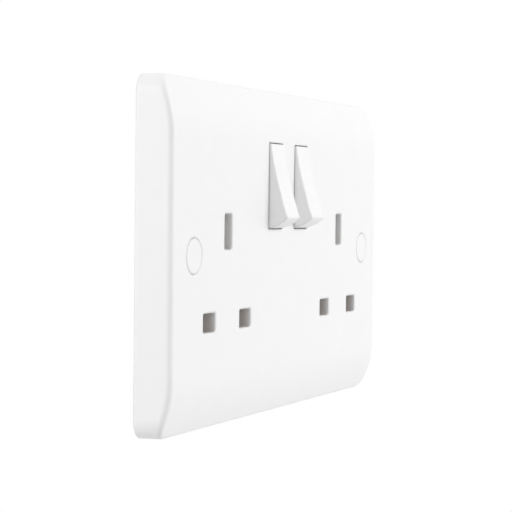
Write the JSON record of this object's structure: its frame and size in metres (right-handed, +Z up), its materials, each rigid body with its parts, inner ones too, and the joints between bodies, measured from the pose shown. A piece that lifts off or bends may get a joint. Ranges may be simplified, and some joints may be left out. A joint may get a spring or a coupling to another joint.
{
  "type": "switched twin socket",
  "caption": "White switched twin wall socket for flat-pin plugs, with rocker switches, shutters, contacts, terminals and a rear housing.",
  "frame": {"origin": "centre of the plate's back rim, on the wall plane, midway between the fixing screws", "axes": "+X to the right seen from the front, +Y into the wall, +Z up"},
  "size_m": [0.146, 0.0368, 0.0864],
  "materials": {
    "plate_moulding": "white thermoset moulding, polished mould face",
    "rocker_moulding": "white thermoset moulding, polished mould face",
    "housing_moulding": "pale grey-white moulding, fine matt",
    "shutter_moulding": "off-white nylon, fine matt",
    "plunger_moulding": "natural nylon",
    "brass_strip": "rolled and pressed strip",
    "terminal_brass": "drawn and machined block",
    "zinc_steel": "zinc-plated steel",
    "spring_steel": "drawn spring wire"
  },
  "bodies": {
    "root": {"front_plate": "plate_moulding", "rear_housing": "housing_moulding", "housing_screws": "zinc_steel", "supply_bar": "brass_strip", "neutral_bar": "brass_strip", "earth_strap": "brass_strip", "live_terminal": "terminal_brass", "neutral_terminal": "terminal_brass", "earth_terminals": "terminal_brass", "terminal_screws": "zinc_steel", "left_switched_contact": "brass_strip", "left_shutter_spring": "spring_steel", "left_earth_clip": "brass_strip", "left_screw_cap": "plate_moulding", "left_fixing_screw": "zinc_steel", "right_switched_contact": "brass_strip", "right_shutter_spring": "spring_steel", "right_earth_clip": "brass_strip", "right_screw_cap": "plate_moulding", "right_fixing_screw": "zinc_steel"},
    "left_rocker": {"left_rocker": "rocker_moulding", "left_plunger_spring": "spring_steel"},
    "left_plunger": {"left_plunger": "plunger_moulding"},
    "left_moving_contact": {"left_moving_contact": "brass_strip"},
    "left_shutter": {"left_shutter": "shutter_moulding"},
    "right_rocker": {"right_rocker": "rocker_moulding", "right_plunger_spring": "spring_steel"},
    "right_plunger": {"right_plunger": "plunger_moulding"},
    "right_moving_contact": {"right_moving_contact": "brass_strip"},
    "right_shutter": {"right_shutter": "shutter_moulding"}
  },
  "joints": [
    {"name": "left_rocker_tilt", "type": "hinge", "parent": "root", "child": "left_rocker", "pos_m": [-0.0091, -0.007, 0.01755], "axis": [1, 0, 0], "range_deg": [0, 27.8]},
    {"name": "left_contact_rock", "type": "hinge", "parent": "root", "child": "left_moving_contact", "pos_m": [-0.0091, 0.0023, 0.01755], "axis": [1, 0, 0], "range_deg": [-18, 0]},
    {"name": "left_plunger_slide", "type": "slide", "parent": "left_rocker", "child": "left_plunger", "axis": [0, -0.9707, 0.2402], "range_m": [0, 0.001], "stiffness_N_per_m": 300, "deforming": ["left_plunger_spring"]},
    {"name": "right_rocker_tilt", "type": "hinge", "parent": "root", "child": "right_rocker", "pos_m": [0.0091, -0.007, 0.01755], "axis": [1, 0, 0], "range_deg": [0, 27.8]},
    {"name": "right_contact_rock", "type": "hinge", "parent": "root", "child": "right_moving_contact", "pos_m": [0.0091, 0.0023, 0.01755], "axis": [1, 0, 0], "range_deg": [-18, 0]},
    {"name": "right_plunger_slide", "type": "slide", "parent": "right_rocker", "child": "right_plunger", "axis": [0, -0.9707, 0.2402], "range_m": [0, 0.001], "stiffness_N_per_m": 300, "deforming": ["right_plunger_spring"]},
    {"name": "left_shutter_slide", "type": "slide", "parent": "root", "child": "left_shutter", "axis": [0, 0, -1], "range_m": [0, 0.0062], "stiffness_N_per_m": 200, "deforming": ["left_shutter_spring"]},
    {"name": "right_shutter_slide", "type": "slide", "parent": "root", "child": "right_shutter", "axis": [0, 0, -1], "range_m": [0, 0.0062], "stiffness_N_per_m": 200, "deforming": ["right_shutter_spring"]}
  ],
  "couplings": [
    {"joint": "left_contact_rock", "follows": "left_rocker_tilt", "ratio": -0.6474},
    {"joint": "right_contact_rock", "follows": "right_rocker_tilt", "ratio": -0.6474}
  ]
}
